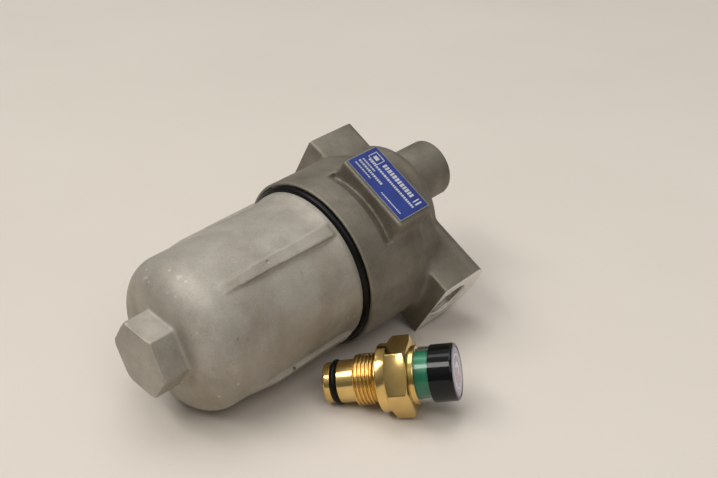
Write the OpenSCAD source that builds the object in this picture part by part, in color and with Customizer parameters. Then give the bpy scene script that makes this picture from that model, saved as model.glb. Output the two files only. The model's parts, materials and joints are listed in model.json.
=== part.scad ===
/* [Bowl] */
// Radius of the bowl's rim where it meets the O-ring
rim_r = 33; // [32.6:0.1:33.4]
// Radius of the bowl's wall at its widest
bowl_r = 31.6; // [31.4:0.1:32]
// Height of the four ribs above the wall
rib_h = 1.2; // [0.6:0.1:1.2]
// Width across the flats of the bowl's hexagon
hex_af = 27; // [24:0.5:30]
// Distance from the rim to the foot of the hexagon
hex_base = 70.4; // [68:0.2:72]
// Length of the hexagon
hex_len = 11.6; // [9:0.2:14]

/* [Head] */
// Radius of the collar round the mouth
collar_r = 36.5; // [36.2:0.1:37]
// Radius of the body behind the collar
body_r = 32; // [31.5:0.1:33]
// Distance from the filter's axis to each port face
port_face = 44.2; // [43:0.2:47]
// Radius of the rounded side of a port block
port_r = 20; // [19.4:0.2:21]
// Outside radius of the indicator boss
boss_r = 13.3; // [12.8:0.1:14]
// Distance from the rim to the end of the indicator boss
boss_end = 89.6; // [84:0.2:94]

/* [Ports] */
// Radius of the inlet and outlet threads' cores
port_core_r = 9.32; // [8:0.1:9.6]
// Radius of the indicator thread's core
gauge_core_r = 9.19; // [8.6:0.01:9.19]

/* [Element] */
// Outside radius of the pleated pack
media_r = 22; // [20:0.2:23]
// Number of pleats
pleats = 36; // [24:1:44]

/* [Indicator] */
// Radius of the indicator's thread
ind_thread_r = 10; // [9.9:0.01:10]
// Width across the flats of the indicator's hexagon
ind_af = 27; // [26.6:0.2:28]
// Radius of the indicator's cap
ind_cap_r = 10.9; // [10.7:0.1:11.5]

/* [Hidden] */

// Fineness of round shapes.
fine = 96;
mid = 64;
small = 40;
// Overlap that makes a cut pass through a face.
eps = 0.2;

// How the filter lies: on its collar, on the end of its bowl and on one port block's corner.
// Distances along the filter's axis are from the rim, positive towards the hexagon.
front = -2.2;
edge = 0.5;
dome_r = 12;
dome_a = hex_base - dome_r + 0.2;
port_near = -35.1;
port_mid = -46;
port_mid_n = -1.5;
port_top = 15.5;
port_low = -18.3;
inlet_slope_p = 22;
inlet_slope = 6;
// The collar's lowest circle and the bowl's end touch the floor, which sets the pitch.
reach = dome_a - (front - edge);
drop = collar_r - (bowl_r - dome_r);
pitch = acos(dome_r / norm([reach, drop])) - atan2(reach, drop);
axis_h = collar_r * cos(pitch) + (front - edge) * sin(pitch);
// The lower port block's near corner touches the floor, which sets the roll.
corner_h = (axis_h - port_near * sin(pitch)) / cos(pitch);
roll = asin(corner_h / norm([port_face, port_low])) - atan2(-port_low, port_face);
// Offsets that put the middle of the whole part's footprint at the origin.
row_x = -3.448;
row_y = 17.859;

// Indicator: distances along its axis are from the collar's face, positive towards the cap.
ind_tip = -22.2;
ind_seal = -17.8;
ind_seal_r = 8.7;
ind_seal_d = 2.4;
ind_collar_r = 13.1;
ind_collar_edge = 0.4;
ind_reach = ind_collar_edge - ind_seal;
ind_drop = ind_collar_r - (ind_seal_r - ind_seal_d / 2);
// The collar and the O-ring touch the floor, which sets the tilt.
ind_tilt = acos(ind_seal_d / 2 / norm([ind_reach, ind_drop])) - atan2(ind_reach, ind_drop);
ind_h = ind_collar_r * cos(ind_tilt) - ind_collar_edge * sin(ind_tilt);
ind_heading = -56.6;
ind_spin = 25.2;
ind_x = -9.8;
ind_y = -53.4;

// Lays the filter down: x is its axis, y goes to the outlet, z goes to the nameplate.
module lay() {
  translate([row_x, row_y, axis_h])
    rotate([0, 0, 180])
      rotate([0, pitch, 0])
        rotate([-roll, 0, 0])
          children();
}

// Lays the indicator down: x is its axis, from the tip to the cap.
module lay_indicator() {
  translate([row_x + ind_x, row_y + ind_y, ind_h])
    rotate([0, 0, ind_heading])
      rotate([0, -ind_tilt, 0])
        rotate([ind_spin, 0, 0])
          children();
}

// Turns a profile of [radius, distance] points about the x axis.
module spin(pts, n = fine) {
  rotate([0, 90, 0])
    rotate_extrude($fn = n)
      polygon(pts);
}

// A cylinder along the x axis.
module rod(r, x0, x1, n = fine) {
  translate([x0, 0, 0])
    rotate([0, 90, 0])
      cylinder(r = r, h = x1 - x0, $fn = n);
}

// A tube along the x axis.
module tube(ro, ri, x0, x1, n = fine) {
  difference() {
    rod(ro, x0, x1, n);
    rod(ri, x0 - eps, x1 + eps, n);
  }
}

// A round-section ring about the x axis.
module ring(r, section, x, n = fine) {
  translate([x, 0, 0])
    rotate([0, 90, 0])
      rotate_extrude($fn = n)
        translate([r, 0])
          circle(r = section / 2, $fn = 24);
}

// Points on an arc in a profile, from angle b0 to b1.
function arc(cr, ca, r, b0, b1, n) =
  [for (i = [0:n]) [cr + r * cos(b0 + (b1 - b0) * i / n), ca + r * sin(b0 + (b1 - b0) * i / n)]];

// Half the wire's thickness across the radius, at an angle b from the middle of its slice.
function slice_w(wire, lead, b) = sqrt(max(0, wire * wire / 4 - pow(lead * b / 360, 2)));

// Slice of a coil's wire square to the coil's axis.
function wire_slice(r, wire, lead, n) =
  let (half = wire / 2 / lead * 360)
  concat(
    [for (i = [0:n]) let (b = half * (2 * i / n - 1)) (r + slice_w(wire, lead, b)) * [cos(b), sin(b)]],
    [for (i = [1:n - 1]) let (b = half * (1 - 2 * i / n)) (r - slice_w(wire, lead, b)) * [cos(b), sin(b)]]
  );

// A coil about the x axis.
module coil(r, wire, x0, x1, turns) {
  lead = (x1 - x0) / turns;
  translate([x0, 0, 0])
    rotate([0, 90, 0])
      linear_extrude(height = x1 - x0, twist = -360 * turns, slices = ceil(turns * 18))
        polygon(wire_slice(r, wire, lead, 8));
}

// ---- Head ----

thread_a0 = -5;
thread_a1 = -16;
pitch_len = 2;
neck_r = 31.1;
thread_r = 31;
groove_r = 29.9;
bore_end = -18;
mouth_r = 31.16;
seat_r = 34.9;
seat_end = -4.2;
chamber_r = 26;
chamber_end = -33;
collar_end = -33;
collar_round = 2.6;
relief_a1 = -14.6;
relief_r = 35.8;
relief_foot_r = 33.8;
waist_end = -50;
waist_round = 6;
cover_p = -6.7;
cover_r = 27.6;
cover_end = -60;
cover_round = 5;
pad_n = 40;
pad_a0 = -38;
pad_a1 = -19.2;
pad_p = 17.3;
plate_a0 = -36.9;
plate_a1 = -20.3;
plate_p0 = -16.2;
plate_p1 = 16.7;
plate_t = 0.7;
boss_p = -12.8;
port_len = 15;
port_lead = 0.8;
passage_r = 8;
passage_end = -54;
inlet_p = -20;
inlet_r = 6.8;
gauge_len = 14;
gauge_lead = 1;
drill_r = 2.4;
spigot_r = 11;
spigot_foot_r = 10;
spigot_foot = -37;
spigot_tip = -7;
bypass_n = -18.8;
bypass_r = 5.6;
bypass_end = -52;
fit = 0.03;

// Outline of the round body: collar, shoulder, waist and domed end.
function head_outline() = concat(
  [[0, front], [collar_r - edge, front], [collar_r, front - edge]],
  arc(collar_r - collar_round, collar_end, collar_round, 0, -80, 6),
  arc(body_r - waist_round, waist_end + waist_round, waist_round, 0, -90, 8),
  [[0, waist_end]]
);

// Outline of the rounded cover round the foot of the indicator boss.
function cover_outline() = concat(
  [[0, -30], [cover_r, -30]],
  arc(cover_r - cover_round, cover_end + cover_round, cover_round, 0, -90, 8),
  [[0, cover_end]]
);

// Side outline of a port block: flat top, near side and underside, rounded far side.
module port_outline() {
  intersection() {
    translate([port_mid, port_mid_n])
      circle(r = port_r, $fn = fine);
    translate([-80, port_low])
      square([80 + port_near, port_top - port_low]);
  }
}

// The two port blocks as one prism through the body; the inlet block's top slopes down to its face.
module port_blocks() {
  difference() {
    translate([0, port_face, 0])
      rotate([90, 0, 0])
        linear_extrude(height = 2 * port_face)
          port_outline();
    translate([-80, -inlet_slope_p, port_top])
      rotate([inlet_slope, 0, 0])
        translate([0, -60, 0])
          cube([60, 60, 20]);
  }
}

// The pad under the nameplate.
module pad() {
  translate([pad_a0, -pad_p, 20])
    cube([pad_a1 - pad_a0, 2 * pad_p, pad_n - 20]);
}

// The relief sunk into the collar in front of the pad, deepest at the pad's foot.
module pad_relief() {
  intersection() {
    spin([[relief_foot_r, pad_a1], [relief_r, relief_a1], [pad_n + 5, relief_a1], [pad_n + 5, pad_a1]]);
    translate([pad_a1 - eps, -pad_p - 0.6, 0])
      cube([relief_a1 - pad_a1 + 2 * eps, 2 * pad_p + 1.2, collar_r + 5]);
  }
}

// The indicator boss with its rounded end and its foot.
module gauge_boss() {
  translate([0, boss_p, 0])
    spin([[0, -50], [boss_r, -50], [boss_r, -boss_end + 1], [boss_r - 1, -boss_end], [0, -boss_end]]);
}

// A port's lead-in, thread core and passage; side is 1 or -1 and the passage ends at inner.
module port_hole(side, inner) {
  translate([port_mid, 0, port_mid_n])
    rotate([-side * 90, 0, 0]) {
      translate([0, 0, inner])
        cylinder(r = passage_r, h = port_face - inner, $fn = mid);
      translate([0, 0, port_face - port_len])
        cylinder(r = port_core_r, h = port_len + eps, $fn = fine);
      translate([0, 0, port_face - port_lead])
        cylinder(r1 = port_core_r, r2 = port_core_r + port_lead + eps, h = port_lead + eps, $fn = fine);
    }
}

// The indicator thread's core and lead-in, and the drillings behind it.
module gauge_hole() {
  translate([0, boss_p, 0])
    spin([[0, -boss_end - eps], [gauge_core_r + gauge_lead + eps, -boss_end - eps],
          [gauge_core_r, -boss_end + gauge_lead], [gauge_core_r, -boss_end + gauge_len],
          [0, -boss_end + gauge_len + 2]]);
  translate([0, inlet_p, 0])
    rod(drill_r, -boss_end + gauge_len - 2, passage_end + 1, small);
  translate([0, passage_r / 2 - 9.5, 0])
    rod(drill_r, -boss_end + gauge_len - 2, passage_end + 1, small);
}

// The mouth, the plain bore for the bowl's thread and the element chamber.
module head_hollow() {
  spin([[0, front + 1], [seat_r + 0.5, front + 1], [seat_r + 0.5, front], [seat_r, front - 0.5],
        [seat_r, seat_end], [mouth_r, seat_end], [mouth_r, bore_end], [chamber_r, bore_end - 3.5],
        [chamber_r, chamber_end], [0, chamber_end]]);
}

// The drillings that join the chamber, the ports and the bypass bore.
module head_passages() {
  rod(spigot_foot_r, spigot_foot, chamber_end + eps, mid);
  rod(passage_r, passage_end, spigot_foot + eps, mid);
  translate([0, inlet_p, 0])
    rod(inlet_r, passage_end, chamber_end + eps, mid);
  translate([0, 0, bypass_n])
    rod(bypass_r, bypass_end, chamber_end + eps, mid);
  translate([bypass_end + 4, 0, bypass_n])
    cylinder(r = 3.6, h = -bypass_n, $fn = small);
  port_hole(1, 0);
  port_hole(-1, 18);
}

module head_casting() {
  color([0.47, 0.44, 0.39])
    lay()
      difference() {
        union() {
          spin(head_outline());
          translate([0, cover_p, 0])
            spin(cover_outline());
          port_blocks();
          pad();
          gauge_boss();
        }
        head_hollow();
        head_passages();
        gauge_hole();
        pad_relief();
      }
}

module nameplate() {
  color([0.06, 0.12, 0.5])
    lay()
      translate([plate_a0, plate_p0, pad_n])
        cube([plate_a1 - plate_a0, plate_p1 - plate_p0, plate_t]);
}

module spigot() {
  color([0.62, 0.62, 0.63])
    lay()
      spin([[spigot_foot_r - fit, spigot_foot], [spigot_foot_r - fit, chamber_end], [12.4, chamber_end],
            [12.4, chamber_end + 2], [spigot_r, chamber_end + 2], [spigot_r, spigot_tip - 1],
            [spigot_r - 1, spigot_tip], [passage_r, spigot_tip], [passage_r, spigot_foot]], fine);
}

module bypass_seat() {
  color([0.75, 0.6, 0.3])
    lay()
      translate([0, 0, bypass_n])
        spin([[3.2, -37.4], [3.9, -38.1], [bypass_r - fit, -38.1], [bypass_r - fit, -33.5], [3.2, -33.5]],
             mid);
}

module bypass_poppet() {
  color([0.7, 0.7, 0.72])
    lay()
      translate([0, 0, bypass_n])
        spin([[0, -37.2], [2.6, -37.2], [4, -38.6], [4.7, -38.6], [4.7, -40.4], [2, -40.4], [2, -45],
              [0, -45]], small);
}

module bypass_spring() {
  color([0.6, 0.6, 0.62])
    lay()
      translate([0, 0, bypass_n])
        coil(3.3, 0.7, bypass_end + 0.4, -40.8, 5);
}

// ---- Bowl ----

bowl_in_r = 26.6;
neck_tip = -17.6;
bowl_floor = dome_a + 7.4;
hex_spin = 24.4;
rib_w = 5.8;
rib_end_w = 3.8;
rib_a1 = 53;
rib_turn = -2.5;

// Ring grooves that stand for the bowl's thread.
function thread_teeth(a0, a1, p, ro, ri) = [for (i = [0:floor((a0 - a1) / p) - 1]) for (j = [0:3])
  [j == 0 || j == 3 ? ro : ri, a0 - i * p - [0.1, 0.7, 1.3, 1.9][j] * p / 2]];

// Outside of the bowl from its neck's tip to the foot of the hexagon.
function bowl_outline() = concat(
  [[0, neck_tip], [groove_r - 0.8, neck_tip], [groove_r, neck_tip + 0.8], [groove_r, thread_a1]],
  [for (i = [len(teeth()) - 1:-1:0]) teeth()[i]],
  [[groove_r, thread_a0], [neck_r, thread_a0 + 0.6], [neck_r, -0.1], [rim_r - 0.3, -0.1], [rim_r, 0.2],
   [rim_r, 1.6]],
  [for (i = [1:7]) flare(i / 7)],
  arc(bowl_r - dome_r, dome_a, dome_r, 0, 88, 14),
  [[0, dome_a + dome_r]]
);

// A point on the flare between the rim and the wall; t runs from 0 at the rim to 1 at the wall.
function flare(t) = [bowl_r + (rim_r - bowl_r) * pow(1 - t, 2), 1.6 + 7 * t];

function teeth() = thread_teeth(thread_a0, thread_a1, pitch_len, thread_r, groove_r);

// Hollow inside of the bowl.
function bowl_hollow() = concat(
  [[0, neck_tip - 1], [bowl_in_r, neck_tip - 1]],
  arc(bowl_in_r - 8, dome_a - 0.6, 8, 0, 90, 7),
  [[0, bowl_floor]]
);

// A rib along the bowl that narrows and fades out towards the dome.
module rib(turn) {
  rotate([turn, 0, 0])
    intersection() {
      translate([0, rib_w, 0])
        rotate([90, 0, 0])
          linear_extrude(height = 2 * rib_w)
            polygon([[1.2, bowl_r - 1], [1.2, rim_r - 0.2], [3, bowl_r + rib_h], [rib_a1 - 4, bowl_r + rib_h],
                     [rib_a1 + 4, bowl_r - 0.4], [rib_a1 + 4, bowl_r - 1]]);
      linear_extrude(height = rim_r + 2)
        polygon([[0, -rib_w / 2], [rib_a1 + 5, -rib_end_w / 2], [rib_a1 + 5, rib_end_w / 2], [0, rib_w / 2]]);
    }
}

module bowl() {
  color([0.64, 0.61, 0.56])
    lay()
      difference() {
        union() {
          spin(bowl_outline());
          for (i = [0:3])
            rib(i * 90 + rib_turn);
          bowl_hex();
        }
        spin(bowl_hollow());
      }
}

// The hexagon, chamfered at its end, and the cast step left at its foot.
module bowl_hex() {
  rotate([hex_spin, 0, 0])
    translate([hex_base - 1, 0, 0])
      rotate([0, 90, 0])
        rotate([0, 0, 90])
          cylinder(r = (hex_af + 1.2) / sqrt(3), h = 1.5, $fn = 6);
  intersection() {
    rotate([hex_spin, 0, 0])
      translate([hex_base, 0, 0])
        rotate([0, 90, 0])
          rotate([0, 0, 90])
            cylinder(r = hex_af / sqrt(3), h = hex_len, $fn = 6);
    spin([[0, hex_base - 1], [hex_af / 2 + 3, hex_base - 1], [hex_af / 2 + 3, hex_base + hex_len - 1.2],
          [hex_af / 2 + 0.9, hex_base + hex_len + 0.01], [0, hex_base + hex_len + 0.01]]);
  }
}

module bowl_o_ring() {
  color([0.04, 0.04, 0.04])
    lay()
      ring((seat_r + neck_r) / 2, seat_r - neck_r - 0.3, -1.9);
}

module backup_ring() {
  color([0.85, 0.84, 0.8])
    lay()
      tube(seat_r - 0.5, neck_r + 0.08, seat_end + 0.02, -3.72, fine);
}

// ---- Element ----

cap_a0 = -22;
cap_a1 = -19;
hub_r = 13.2;
hub_bore_r = 11.06;
hub_end = -8;
media_a0 = -19;
media_a1 = 55;
core_r = 13.9;
core_in_r = 13.3;
base_a = 55;
core_rows = 7;
core_row0 = -4;
core_pitch = 9;
base_end = 57.5;

module element_top_cap() {
  color([0.6, 0.61, 0.62])
    lay()
      spin([[hub_bore_r + 0.8, cap_a0], [media_r + 1.2, cap_a0], [media_r + 1.2, media_a0 + 2],
            [media_r + 0.6, media_a0 + 2], [media_r + 0.6, cap_a1], [hub_r, cap_a1],
            [hub_r, hub_end], [hub_bore_r, hub_end],
            [hub_bore_r, -11], [12.6, -11], [12.6, -13.4], [hub_bore_r, -13.4], [hub_bore_r, cap_a0 + 0.8]]);
}

module element_bottom_cap() {
  color([0.6, 0.61, 0.62])
    lay()
      spin([[0, base_a], [media_r + 0.6, base_a], [media_r + 0.6, base_a - 2], [media_r + 1.2, base_a - 2],
            [media_r + 1.2, base_a + 0.8], [10, base_a + 0.8], [10, base_end], [0, base_end]]);
}

// A closed outline whose radius swings between ro and ri, once per pleat.
function pleat_line(ro, ri) = [for (i = [0:2 * pleats - 1])
  (i % 2 == 0 ? ro : ri) * [cos(180 * i / pleats), sin(180 * i / pleats)]];

module element_media() {
  color([0.86, 0.83, 0.74])
    lay()
      translate([media_a0 + 0.05, 0, 0])
        rotate([0, 90, 0])
          linear_extrude(height = media_a1 - media_a0 - 0.1)
            difference() {
              polygon(pleat_line(media_r, core_r + 2.2));
              polygon(pleat_line(media_r - 2.4, core_r + 0.3));
            }
}

module element_core() {
  color([0.66, 0.67, 0.68])
    lay()
      difference() {
        tube(core_r, core_in_r, media_a0 + 0.05, base_a - 0.05, mid);
        for (i = [0:core_rows - 1])
          for (j = [0:7])
            translate([core_row0 + i * core_pitch, 0, 0])
              rotate([j * 45 + (i % 2) * 22.5, 0, 0])
                translate([0, 0, core_in_r - 3])
                  cylinder(r = 2, h = 5, $fn = 24);
      }
}

module element_o_ring() {
  color([0.05, 0.05, 0.05])
    lay()
      ring(11.82, 1.4, -12.2);
}

module element_spring() {
  color([0.6, 0.61, 0.63])
    lay()
      coil(8.2, 1.5, base_end + 0.2, bowl_floor - 0.2, 3);
}

// ---- Indicator ----

ind_groove_r = 6.3;
ind_stem_r = 8.2;
ind_land_r = 7.8;
ind_thread_a0 = -9.5;
ind_thread_lead = 1.5;
ind_root_r = 9.1;
ind_hex_a0 = 3.8;
ind_hex_a1 = 12.6;
ind_neck_r = 11.2;
ind_neck_end = 14.4;
ind_bore_r = 5.4;
ind_wall_a0 = 1.6;
ind_wall_a1 = 3;
ind_cup_r = 9.6;
ind_window_r = 10.5;
ind_window_in = 9.4;
ind_cap_a0 = 19.7;
ind_cap_a1 = 28.9;

// Ring grooves that stand for the indicator's thread, from the stem to the collar.
function ind_teeth() = [for (i = [0:5]) for (j = [0:3])
  [j == 0 || j == 3 ? ind_root_r : ind_thread_r,
   ind_thread_a0 + 0.2 + (i + [0.05, 0.4, 0.6, 0.95][j]) * ind_thread_lead]];

function ind_outline() = concat(
  [[ind_bore_r, ind_tip], [ind_land_r - 0.7, ind_tip], [ind_land_r, ind_tip + 1],
   [ind_land_r, ind_seal - 1.4], [ind_groove_r, ind_seal - 1.4],
   [ind_groove_r, ind_seal + 1.4], [ind_stem_r, ind_seal + 1.4],
   [ind_stem_r, ind_thread_a0]],
  ind_teeth(),
  [[ind_root_r, 0], [ind_collar_r - 0.4, 0], [ind_collar_r, ind_collar_edge],
   [ind_collar_r, ind_hex_a0 + 0.5], [ind_neck_r, ind_hex_a0 + 0.5],
   [ind_neck_r, ind_neck_end - 0.3], [ind_neck_r - 0.3, ind_neck_end],
   [ind_cup_r, ind_neck_end], [ind_cup_r, ind_wall_a1], [0, ind_wall_a1], [0, ind_wall_a0],
   [ind_bore_r, ind_wall_a0]]
);

// Outline that chamfers both ends of the indicator's hexagon.
function ind_hex_chamfer() = [
  [0, ind_hex_a0 - 0.01], [ind_af / 2 - 0.2, ind_hex_a0 - 0.01], [ind_af / 2 + 2.2, ind_hex_a0 + 1.2],
  [ind_af / 2 + 2.2, ind_hex_a1 - 1.2], [ind_af / 2 - 0.2, ind_hex_a1 + 0.01], [0, ind_hex_a1 + 0.01]
];

module indicator_body() {
  color([0.78, 0.62, 0.3])
    lay_indicator() {
      spin(ind_outline());
      difference() {
        intersection() {
          rod(ind_af / sqrt(3), ind_hex_a0, ind_hex_a1, 6);
          spin(ind_hex_chamfer());
        }
        rod(ind_neck_r - 0.6, ind_hex_a0 - 1, ind_hex_a1 + 1);
      }
    }
}

module indicator_o_ring() {
  color([0.03, 0.03, 0.03])
    lay_indicator()
      ring(ind_seal_r - ind_seal_d / 2, ind_seal_d, ind_seal, mid);
}

module indicator_window() {
  color([0.8, 0.9, 0.86, 0.35])
    lay_indicator()
      tube(ind_window_r, ind_window_in, ind_neck_end + 0.02, ind_cap_a0 + 1.5, mid);
}

module indicator_cap() {
  color([0.03, 0.03, 0.03])
    lay_indicator()
      spin(concat(
        [[ind_window_r + 0.02, ind_cap_a0], [ind_cap_r - 0.1, ind_cap_a0], [ind_cap_r, ind_cap_a0 + 0.2]],
        arc(ind_cap_r - 0.9, ind_cap_a1 - 0.9, 0.9, 0, 90, 6),
        [[ind_cap_r - 1.5, ind_cap_a1], [ind_cap_r - 1.5, ind_cap_a1 - 0.4], [0, ind_cap_a1 - 0.4],
         [0, ind_cap_a1 - 1.6], [ind_cup_r, ind_cap_a1 - 1.6], [ind_cup_r, ind_cap_a0 + 1.6],
         [ind_window_r + 0.02, ind_cap_a0 + 1.6]]
      ), fine);
}

module indicator_disc() {
  color([0.5, 0.48, 0.66])
    lay_indicator()
      spin([[0, ind_cap_a1 - 0.38], [ind_cap_r - 1.55, ind_cap_a1 - 0.38],
            [ind_cap_r - 1.55, ind_cap_a1 - 0.15], [ind_cap_r - 2, ind_cap_a1], [0, ind_cap_a1]], mid);
}

module indicator_red_post() {
  color([0.7, 0.06, 0.05])
    lay_indicator()
      tube(6.8, 5.4, ind_wall_a1 + 0.02, ind_cap_a0, mid);
}

module indicator_sleeve() {
  color([0.02, 0.4, 0.2])
    lay_indicator()
      spin([[7.1, 12.4], [8.9, 12.4], [8.9, 20.6], [2.6, 20.6], [2.6, 20.1], [7.1, 20.1]], mid);
}

module indicator_upper_magnet() {
  color([0.3, 0.3, 0.32])
    lay_indicator()
      spin([[0, ind_wall_a1 + 0.3], [4.8, ind_wall_a1 + 0.3], [4.8, ind_wall_a1 + 4.3],
            [2.5, ind_wall_a1 + 4.3], [2.5, 20.8], [0, 20.8]], small);
}

module indicator_sleeve_spring() {
  color([0.62, 0.63, 0.65])
    lay_indicator()
      coil(7.9, 0.7, ind_wall_a1 + 0.2, 12.2, 3);
}

module indicator_piston() {
  color([0.72, 0.72, 0.74])
    lay_indicator()
      spin([[0, -13.6], [2.4, -13.6], [2.4, -8], [5.34, -8], [5.34, -2.5], [4.3, -2.5], [4.3, -5.6],
            [0, -5.6]], mid);
}

module indicator_lower_magnet() {
  color([0.28, 0.28, 0.3])
    lay_indicator()
      rod(4.28, -5.58, 1.2, small);
}

module indicator_piston_spring() {
  color([0.6, 0.6, 0.62])
    lay_indicator()
      coil(3.9, 0.7, -19.4, -8.3, 5);
}

module indicator_retainer() {
  color([0.7, 0.58, 0.32])
    lay_indicator()
      tube(ind_bore_r - fit, 2.6, ind_tip + 0.6, -19.8, small);
}

head_casting();
nameplate();
spigot();
bypass_seat();
bypass_poppet();
bypass_spring();
bowl();
bowl_o_ring();
backup_ring();
element_top_cap();
element_bottom_cap();
element_media();
element_core();
element_o_ring();
element_spring();
indicator_body();
indicator_o_ring();
indicator_window();
indicator_cap();
indicator_disc();
indicator_red_post();
indicator_sleeve();
indicator_upper_magnet();
indicator_sleeve_spring();
indicator_piston();
indicator_lower_magnet();
indicator_piston_spring();
indicator_retainer();
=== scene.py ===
import json
import math
import random

import bmesh
import bpy
import numpy as np
from mathutils import Matrix, Vector


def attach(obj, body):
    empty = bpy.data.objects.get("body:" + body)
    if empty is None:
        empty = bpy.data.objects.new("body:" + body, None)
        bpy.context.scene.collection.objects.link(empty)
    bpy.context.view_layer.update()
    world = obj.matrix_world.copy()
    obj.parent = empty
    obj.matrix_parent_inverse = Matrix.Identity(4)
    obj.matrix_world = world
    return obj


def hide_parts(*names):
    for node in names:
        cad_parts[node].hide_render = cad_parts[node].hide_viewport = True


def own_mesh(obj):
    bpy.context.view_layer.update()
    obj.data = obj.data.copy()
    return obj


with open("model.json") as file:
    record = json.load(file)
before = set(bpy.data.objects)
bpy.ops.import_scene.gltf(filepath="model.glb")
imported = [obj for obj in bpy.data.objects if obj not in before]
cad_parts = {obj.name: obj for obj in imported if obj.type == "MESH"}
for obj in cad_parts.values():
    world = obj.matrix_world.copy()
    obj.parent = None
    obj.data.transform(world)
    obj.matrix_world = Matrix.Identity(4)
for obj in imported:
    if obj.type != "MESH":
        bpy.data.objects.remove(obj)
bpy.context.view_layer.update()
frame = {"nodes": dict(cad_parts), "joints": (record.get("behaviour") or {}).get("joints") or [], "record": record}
RECORD = frame["record"]
NODES = frame["nodes"]
MM = 0.001


# ---- Frames of the filter and of its indicator, from the record ----

def mount(name):
    return next(m for m in RECORD["mounts"] if m["name"] == name)


def joint(name):
    return next(j for j in frame["joints"] if j["name"] == name)


def placement(origin, x, y, z):
    """Matrix from a local frame in millimetres to the row frame in metres."""
    m = Matrix((x, y, z)).transposed().to_4x4()
    return Matrix.Translation(origin) @ m @ Matrix.Scale(MM, 4)


AXIS = Vector(joint("bowl_turn")["axis"]).normalized()
RIM = Vector(joint("bowl_turn")["pos_m"])
SIDE = Vector(mount("outlet_port")["axis"]).normalized()
FILTER = placement(RIM, AXIS, SIDE, AXIS.cross(SIDE))

IND_AXIS = Vector(joint("sleeve_rise")["axis"]).normalized()
IND_THREAD_MID = 5 * MM
IND_SPIN = math.radians(25.2)
ind_origin = Vector(mount("indicator_thread")["pos_m"]) + IND_AXIS * IND_THREAD_MID
flat_side = Vector((0, 0, 1)).cross(IND_AXIS).normalized()
upright = IND_AXIS.cross(flat_side)
ind_y = flat_side * math.cos(IND_SPIN) + upright * math.sin(IND_SPIN)
INDICATOR = placement(ind_origin, IND_AXIS, ind_y, IND_AXIS.cross(ind_y))


# ---- Dimensions, in millimetres, as in the CAD ----

FRONT, EDGE = -2.2, 0.5
COLLAR_R, COLLAR_END, COLLAR_ROUND = 36.5, -33.0, 2.6
BODY_R, WAIST_END, WAIST_ROUND = 32.0, -50.0, 6.0
COVER_P, COVER_R, COVER_END, COVER_ROUND = -6.7, 27.6, -60.0, 5.0
PAD_N, PAD_A0, PAD_A1, PAD_P, PAD_FAR_P = 40.0, -38.0, -19.2, 17.3, 18.4
RELIEF_A1, RELIEF_R, RELIEF_FOOT_R = -14.6, 35.8, 33.8
BOSS_P, BOSS_R, BOSS_END = -12.8, 13.3, -89.6
PORT_FACE, PORT_R, PORT_NEAR, PORT_MID, PORT_MID_N = 44.2, 20.0, -35.1, -46.0, -1.5
PORT_TOP, PORT_LOW, PORT_CORE_R, PORT_LEN, PORT_LEAD = 15.5, -18.3, 9.32, 15.0, 0.8
GAUGE_CORE_R, GAUGE_LEN, GAUGE_LEAD = 9.19, 14.0, 1.0
SEAT_R, SEAT_END, MOUTH_R, BORE_END, CHAMBER_R, CHAMBER_END = 34.9, -4.2, 31.16, -18.0, 26.0, -33.0
RIM_R, BOWL_R, DOME_R, DOME_A, HEX_BASE, HEX_LEN, HEX_AF = 33.0, 31.6, 12.0, 58.6, 70.4, 11.6, 27.0
HEX_SPIN, RIB_TURN, RIB_H = math.radians(24.4), math.radians(-5.2), 2.25
INLET_SLOPE, INLET_SLOPE_P = math.radians(6), -22
PORT_THREAD_R, PORT_PITCH, GAUGE_THREAD_R, GAUGE_PITCH = 10.4, 1.814, 9.98, 1.5
NECK_BORE, NECK_CREST, NECK_ROOT, NECK_PITCH = 26.6, 31.0, 29.9, 2.0
IND_HEX_AF = 27.0
HEAD_GRID, BOWL_GRID, KEPT_SHARE = 0.55, 0.42, 0.55
RELAX_STEP = 0.5
RING_PHASE, LATHE_PHASE = 18.0, 42.0


# ---- Mesh helpers: shapes are made in a local frame in millimetres ----

def arc(cr, ca, r, b0, b1, n):
    """Profile points (radius, distance) on an arc from angle b0 to b1, in degrees."""
    turns = [math.radians(b0 + (b1 - b0) * i / n) for i in range(n + 1)]
    return [(cr + r * math.cos(b), ca + r * math.sin(b)) for b in turns]


def tube_faces(rows, n):
    """Quads that join rings of n points, the last ring back to the first."""
    faces = []
    for i in range(rows):
        j = (i + 1) % rows
        faces += [[i * n + k, i * n + (k + 1) % n, j * n + (k + 1) % n, j * n + k] for k in range(n)]
    return faces


def new_object(name, verts, faces):
    mesh = bpy.data.meshes.new(name)
    mesh.from_pydata(verts, [], faces)
    bm = bmesh.new()
    bm.from_mesh(mesh)
    bmesh.ops.remove_doubles(bm, verts=bm.verts, dist=1e-5)
    bmesh.ops.delete(bm, geom=[e for e in bm.edges if not e.link_faces], context="EDGES")
    bmesh.ops.recalc_face_normals(bm, faces=bm.faces)
    bm.to_mesh(mesh)
    bm.free()
    obj = bpy.data.objects.new(name, mesh)
    bpy.context.scene.collection.objects.link(obj)
    return obj


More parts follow.
